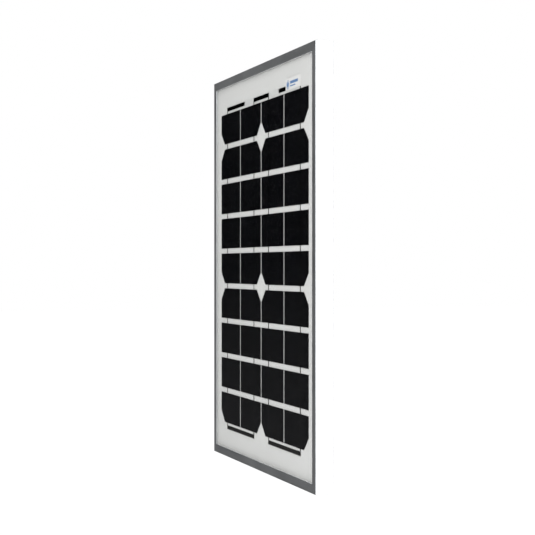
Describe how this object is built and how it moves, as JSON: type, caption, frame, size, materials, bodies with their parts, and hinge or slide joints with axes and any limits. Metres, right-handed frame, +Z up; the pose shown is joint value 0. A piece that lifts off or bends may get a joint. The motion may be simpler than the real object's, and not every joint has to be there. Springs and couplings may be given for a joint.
{
  "type": "solar panel",
  "caption": "Framed photovoltaic panel: aluminium frame, glass laminate of cut silicon cells, rear junction box with hinged lid, glands and coiled leads.",
  "frame": {"origin": "centre of the four mounting holes, on the frame's rear face", "axes": "+Z up along the panel's height, +X to the right seen from the front, glass faces -Y"},
  "size_m": [0.374, 0.021, 0.493],
  "materials": {
    "anodised_frame": "satin natural anodised extrusion",
    "cast_key": "as cast",
    "silicone_seal": "cured silicone",
    "solar_glass": "clear low-iron tempered glass",
    "encapsulant": "clear soft film",
    "insulation_film": "matt white film",
    "backsheet_film": "matt white laminated film",
    "label_film": "smooth printed film",
    "silicon_cell": "textured, anti-reflection coated silicon",
    "tinned_ribbon": "dark coated tinned copper",
    "tinned_copper": "bright tinned",
    "box_plastic": "fine moulded texture",
    "nut_plastic": "fine moulded texture",
    "gasket_rubber": "soft moulded rubber",
    "plated_steel": "zinc plated",
    "terminal_brass": "stamped",
    "diode_epoxy": "moulded epoxy",
    "copper_wire": "bare copper strand",
    "jacket_red": "smooth extruded jacket",
    "jacket_black": "smooth extruded jacket",
    "tie_nylon": "moulded nylon"
  },
  "bodies": {
    "panel": {"backsheet": "backsheet_film", "bus_bar_bottom_left_link": "tinned_ribbon", "bus_bar_bottom_right_link": "tinned_ribbon", "bus_bar_minus": "tinned_ribbon", "bus_bar_plus": "tinned_ribbon", "bus_bar_top_link": "tinned_ribbon", "bypass_diode": "diode_epoxy", "cable_conductor_minus": "copper_wire", "cable_conductor_plus": "copper_wire", "cable_cradles": "tie_nylon", "cable_jacket_minus": "jacket_black", "cable_jacket_plus": "jacket_red", "cable_ties": "tie_nylon", "cell_string_1": "silicon_cell", "cell_string_2": "silicon_cell", "cell_string_3": "silicon_cell", "cell_string_4": "silicon_cell", "corner_key_bottom_left": "cast_key", "corner_key_bottom_right": "cast_key", "corner_key_top_left": "cast_key", "corner_key_top_right": "cast_key", "edge_seal": "silicone_seal", "encapsulant_front": "encapsulant", "encapsulant_rear": "encapsulant", "frame_rail_bottom": "anodised_frame", "frame_rail_left": "anodised_frame", "frame_rail_right": "anodised_frame", "frame_rail_top": "anodised_frame", "front_glass": "solar_glass", "front_label": "label_film", "jbox_adhesive": "silicone_seal", "jbox_base": "box_plastic", "jbox_gasket": "gasket_rubber", "lead_insulation_strip": "insulation_film", "lid_hinge_pin": "plated_steel", "output_lead_minus": "tinned_copper", "output_lead_plus": "tinned_copper", "rating_label": "label_film", "string_ribbons_1": "tinned_ribbon", "string_ribbons_2": "tinned_ribbon", "string_ribbons_3": "tinned_ribbon", "string_ribbons_4": "tinned_ribbon", "terminal_minus": "terminal_brass", "terminal_plus": "terminal_brass", "wire_ferrules": "tinned_copper"},
    "lid": {"jbox_lid": "box_plastic"},
    "gland_insert_body_plus": {"gland_insert_plus": "gasket_rubber"},
    "gland_nut_body_plus": {"gland_nut_plus": "nut_plastic"},
    "clamp_body_plus": {"clamp_plate_plus": "plated_steel"},
    "screw_body_plus": {"terminal_screw_plus": "plated_steel"},
    "gland_insert_body_minus": {"gland_insert_minus": "gasket_rubber"},
    "gland_nut_body_minus": {"gland_nut_minus": "nut_plastic"},
    "clamp_body_minus": {"clamp_plate_minus": "plated_steel"},
    "screw_body_minus": {"terminal_screw_minus": "plated_steel"}
  },
  "joints": [
    {"name": "lid_hinge", "type": "hinge", "parent": "panel", "child": "lid", "pos_m": [0, -0.0032, 0.2184], "axis": [1, 0, 0], "range_deg": [0, 105]},
    {"name": "gland_insert_slide_plus", "type": "slide", "parent": "panel", "child": "gland_insert_body_plus", "axis": [0, 0, -1], "range_m": [0, 0.005]},
    {"name": "gland_nut_turn_plus", "type": "hinge", "parent": "gland_insert_body_plus", "child": "gland_nut_body_plus", "pos_m": [0.022, -0.008, 0.143], "axis": [0, 0, -1], "range_deg": [0, 1440]},
    {"name": "clamp_slide_plus", "type": "slide", "parent": "panel", "child": "clamp_body_plus", "axis": [0, 1, 0], "range_m": [0, 0.00125]},
    {"name": "terminal_screw_turn_plus", "type": "hinge", "parent": "clamp_body_plus", "child": "screw_body_plus", "pos_m": [0.026, -0.0065, 0.172], "axis": [0, 1, 0], "range_deg": [0, 900]},
    {"name": "gland_insert_slide_minus", "type": "slide", "parent": "panel", "child": "gland_insert_body_minus", "axis": [0, 0, -1], "range_m": [0, 0.005]},
    {"name": "gland_nut_turn_minus", "type": "hinge", "parent": "gland_insert_body_minus", "child": "gland_nut_body_minus", "pos_m": [-0.022, -0.008, 0.143], "axis": [0, 0, -1], "range_deg": [0, 1440]},
    {"name": "clamp_slide_minus", "type": "slide", "parent": "panel", "child": "clamp_body_minus", "axis": [0, 1, 0], "range_m": [0, 0.00125]},
    {"name": "terminal_screw_turn_minus", "type": "hinge", "parent": "clamp_body_minus", "child": "screw_body_minus", "pos_m": [-0.026, -0.0065, 0.172], "axis": [0, 1, 0], "range_deg": [0, 900]}
  ],
  "couplings": [
    {"joint": "gland_nut_turn_plus", "follows": "gland_insert_slide_plus", "rad_per_m": 5026.5},
    {"joint": "terminal_screw_turn_plus", "follows": "clamp_slide_plus", "rad_per_m": 12566},
    {"joint": "gland_nut_turn_minus", "follows": "gland_insert_slide_minus", "rad_per_m": 5026.5},
    {"joint": "terminal_screw_turn_minus", "follows": "clamp_slide_minus", "rad_per_m": 12566}
  ]
}
